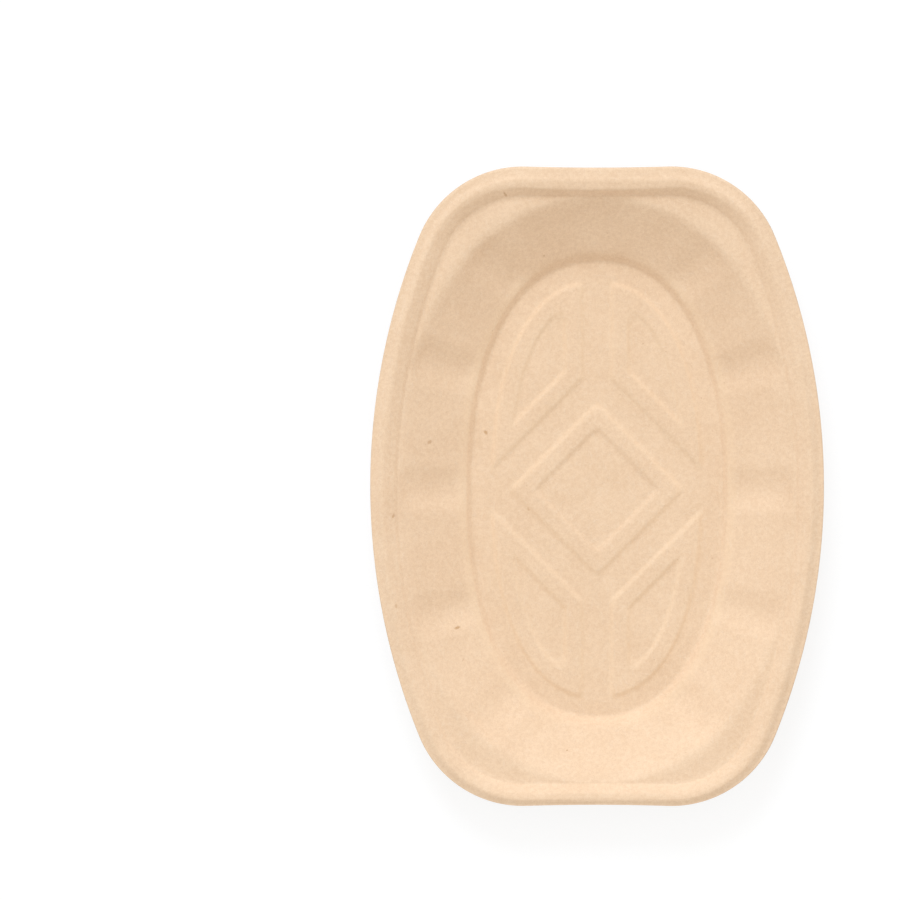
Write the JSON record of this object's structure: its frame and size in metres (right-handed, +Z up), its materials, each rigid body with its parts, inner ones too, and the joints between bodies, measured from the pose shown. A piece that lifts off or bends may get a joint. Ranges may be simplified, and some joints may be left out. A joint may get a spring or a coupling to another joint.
{
  "type": "moulded fibre oval serving tray",
  "caption": "One-piece moulded fibre tray with a raised rim, a sloping fluted wall and an embossed flat floor.",
  "frame": {"origin": "centre of the outline, on the table that the foot ring stands on", "axes": "+X across the tray, +Y along the tray, +Z up out of the well; the tray is alike both ways in X, and in Y but for an outline that is cut 1.6 mm off the pressed form"},
  "size_m": [0.195, 0.2749, 0.021],
  "materials": {
    "moulded_fibre": "unbleached plant fibre, hot pressed, matte with fine fibres and dark specks"
  },
  "bodies": {
    "root": {"tray": "moulded_fibre"}
  },
  "joints": []
}
